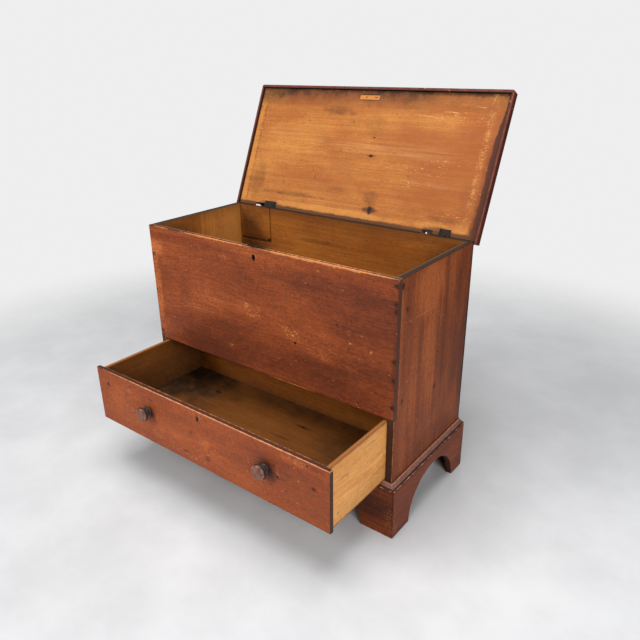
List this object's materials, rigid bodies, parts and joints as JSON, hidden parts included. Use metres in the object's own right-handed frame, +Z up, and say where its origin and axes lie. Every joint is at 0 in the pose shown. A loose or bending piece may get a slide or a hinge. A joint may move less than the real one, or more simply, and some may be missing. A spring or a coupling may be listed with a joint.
{
  "type": "blanket chest",
  "caption": "Painted pine blanket chest with a lift lid, a lipped drawer under the well, turned knobs, a half-mortise lock and a bracket base.",
  "frame": {"origin": "on the floor, at the middle of the footprint of the chest as it stands with its lid open and its drawer out", "axes": "+X to the chest's right as seen from the front, -Y out of its front, +Z up"},
  "size_m": [1.044, 0.9692, 1.2464],
  "materials": {
    "painted_pine": "old red paint, worn to the wood along the edges",
    "painted_base": "old dark red paint, dull and rubbed",
    "painted_trim": "old dark red paint, rubbed on the round",
    "aged_pine": "bare pine, darkened to amber by age",
    "pale_pine": "bare pine, pale and dry",
    "knob_wood": "turned wood, dark with handling",
    "old_iron": "old wrought and rolled iron, dull grey-brown"
  },
  "bodies": {
    "case": {"left_end_board": "painted_pine", "right_end_board": "painted_pine", "front_board": "painted_pine", "back_upper_board": "aged_pine", "back_lower_board": "aged_pine", "well_floor": "aged_pine", "drawer_bay_floor": "aged_pine", "base_rail": "aged_pine", "front_bracket": "painted_base", "left_bracket": "painted_base", "right_bracket": "painted_base", "front_base_moulding": "painted_base", "left_base_moulding": "painted_base", "right_base_moulding": "painted_base", "left_rear_brace": "painted_base", "right_rear_brace": "painted_base", "left_corner_block": "aged_pine", "right_corner_block": "aged_pine", "lock_plate": "old_iron", "lock_case": "old_iron", "lock_screw_1": "old_iron", "lock_screw_2": "old_iron", "left_hinge_case_leaf": "old_iron", "left_hinge_pin": "old_iron", "right_hinge_case_leaf": "old_iron", "right_hinge_pin": "old_iron", "left_hinge_screw_1_case": "old_iron", "left_hinge_screw_2_case": "old_iron", "right_hinge_screw_1_case": "old_iron", "right_hinge_screw_2_case": "old_iron"},
    "lid": {"lid_board": "aged_pine", "lid_front_moulding": "painted_trim", "lid_left_moulding": "painted_trim", "lid_right_moulding": "painted_trim", "left_hinge_lid_leaf": "old_iron", "right_hinge_lid_leaf": "old_iron", "left_hinge_screw_1_lid": "old_iron", "left_hinge_screw_2_lid": "old_iron", "right_hinge_screw_1_lid": "old_iron", "right_hinge_screw_2_lid": "old_iron"},
    "drawer": {"drawer_front": "painted_pine", "drawer_left_side": "pale_pine", "drawer_right_side": "pale_pine", "drawer_back": "pale_pine", "drawer_bottom": "pale_pine", "drawer_left_knob": "knob_wood", "drawer_right_knob": "knob_wood"},
    "bolt": {"lock_bolt": "old_iron"}
  },
  "joints": [
    {"name": "lid_hinge", "type": "hinge", "parent": "case", "child": "lid", "pos_m": [0, 0.28406, 0.81715], "axis": [1, 0, 0], "range_deg": [0, 113.5]},
    {"name": "drawer_slide", "type": "slide", "parent": "case", "child": "drawer", "axis": [0, 1, 0], "range_m": [-0.11, 0.2704]},
    {"name": "bolt_slide", "type": "slide", "parent": "case", "child": "bolt", "axis": [1, 0, 0], "range_m": [0, 0.008]}
  ]
}
